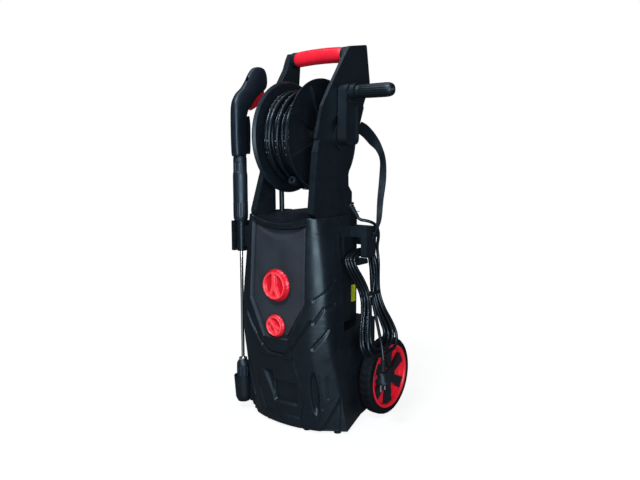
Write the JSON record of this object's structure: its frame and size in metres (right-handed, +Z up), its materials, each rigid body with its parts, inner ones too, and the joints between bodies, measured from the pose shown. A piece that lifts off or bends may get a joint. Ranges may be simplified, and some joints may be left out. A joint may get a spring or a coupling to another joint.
{
  "type": "pressure washer",
  "caption": "Upright electric pressure washer on two wheels with a hand-cranked hose reel, parked spray gun and mains cord hank.",
  "frame": {"origin": "on the floor under the middle of the casing, at the crossing of the casing's symmetry plane and the plane through the front feet and wheels' contact", "axes": "+Z up, +X to the right seen from the front, +Y to the back, where the wheels are"},
  "size_m": [0.4388, 0.3773, 0.9521],
  "materials": {
    "black_plastic": "fine satin mould texture",
    "panel_plastic": "satin dark grey",
    "gun_plastic": "fine matt texture",
    "red_plastic": "satin red",
    "chrome": "polished plate",
    "steel": "turned",
    "brass": "turned",
    "cast_alloy": "die cast",
    "hose_rubber": "smooth hose cover with pale dashes",
    "cord_rubber": "glossy sheath",
    "soft_rubber": "moulded rubber",
    "strap_rubber": "matt strap",
    "tyre_rubber": "matt tread",
    "label_yellow": "blank printed film"
  },
  "bodies": {
    "chassis": {"base_tray": "black_plastic", "bulkhead_frame": "black_plastic", "control_panel": "panel_plastic", "cord_gland": "soft_rubber", "cord_hank": "cord_rubber", "cord_hook": "black_plastic", "cord_lead": "cord_rubber", "cord_tail": "cord_rubber", "cord_tie": "strap_rubber", "cover_screws": "steel", "front_cover": "black_plastic", "front_feet": "soft_rubber", "gun_holster": "black_plastic", "handle_core": "steel", "handle_grip": "red_plastic", "handle_sockets": "black_plastic", "hook_strap": "strap_rubber", "hose_swivel": "black_plastic", "label_plate": "label_yellow", "lead_hose": "hose_rubber", "left_upright": "black_plastic", "lower_insert": "black_plastic", "motor_housing": "cast_alloy", "nozzle_cup": "black_plastic", "piston_springs": "steel", "plug_body": "soft_rubber", "plug_pins": "steel", "pump_head": "cast_alloy", "pump_pistons": "steel", "rear_cover": "black_plastic", "right_upright": "black_plastic", "switch_box": "black_plastic", "top_tray": "black_plastic", "water_inlet": "brass", "wheel_axle": "steel"},
    "reel": {"reel_drum": "black_plastic", "reel_flanges": "black_plastic", "reel_axle": "steel", "crank_arm": "black_plastic", "crank_pin": "steel", "hose_coil": "hose_rubber", "hose_connector": "steel"},
    "crank_handle": {"crank_grip": "black_plastic"},
    "wheel_left": {"tyre_left": "tyre_rubber", "rim_left": "red_plastic", "wheel_cap_left": "black_plastic"},
    "wheel_right": {"tyre_right": "tyre_rubber", "rim_right": "red_plastic", "wheel_cap_right": "black_plastic"},
    "power_switch": {"power_knob": "red_plastic"},
    "detergent_control": {"detergent_knob": "red_plastic"},
    "gun": {"gun_body": "gun_plastic", "trigger_pin": "steel", "lance_grip": "gun_plastic", "lance_tube": "chrome"},
    "gun_trigger": {"trigger": "red_plastic"},
    "lance_nozzle": {"nozzle": "black_plastic"},
    "rotor": {"motor_rotor": "steel", "cooling_fan": "black_plastic", "wobble_plate": "steel"}
  },
  "joints": [
    {"name": "reel_spin", "type": "hinge", "parent": "chassis", "child": "reel", "pos_m": [0, -0.041, 0.726], "axis": [1, 0, 0], "continuous": true},
    {"name": "crank_grip_spin", "type": "hinge", "parent": "reel", "child": "crank_handle", "pos_m": [0.2, -0.041, 0.829], "axis": [1, 0, 0], "continuous": true},
    {"name": "wheel_left_spin", "type": "hinge", "parent": "chassis", "child": "wheel_left", "pos_m": [-0.155, 0.094, 0.1023], "axis": [1, 0, 0], "continuous": true},
    {"name": "wheel_right_spin", "type": "hinge", "parent": "chassis", "child": "wheel_right", "pos_m": [0.155, 0.094, 0.1023], "axis": [1, 0, 0], "continuous": true},
    {"name": "power_knob_turn", "type": "hinge", "parent": "chassis", "child": "power_switch", "pos_m": [0, -0.165, 0.367], "axis": [0, 1, 0], "range_deg": [0, 90]},
    {"name": "detergent_knob_turn", "type": "hinge", "parent": "chassis", "child": "detergent_control", "pos_m": [0, -0.165, 0.267], "axis": [0, 1, 0], "range_deg": [-135, 135]},
    {"name": "gun_lift", "type": "slide", "parent": "chassis", "child": "gun", "axis": [0, 0, 1], "range_m": [0, 0.09]},
    {"name": "trigger_pull", "type": "hinge", "parent": "gun", "child": "gun_trigger", "pos_m": [-0.1644, -0.0702, 0.804], "axis": [1, 0, 0], "range_deg": [0, 7], "stiffness_Nm_per_rad": 1.2, "springref_deg": -6.88},
    {"name": "nozzle_twist", "type": "hinge", "parent": "gun", "child": "lance_nozzle", "pos_m": [-0.1644, -0.1112, 0.09], "axis": [0, 0, 1], "range_deg": [-90, 90]},
    {"name": "rotor_spin", "type": "hinge", "parent": "chassis", "child": "rotor", "pos_m": [0, -0.03, 0.28], "axis": [0, 0, 1], "continuous": true}
  ]
}
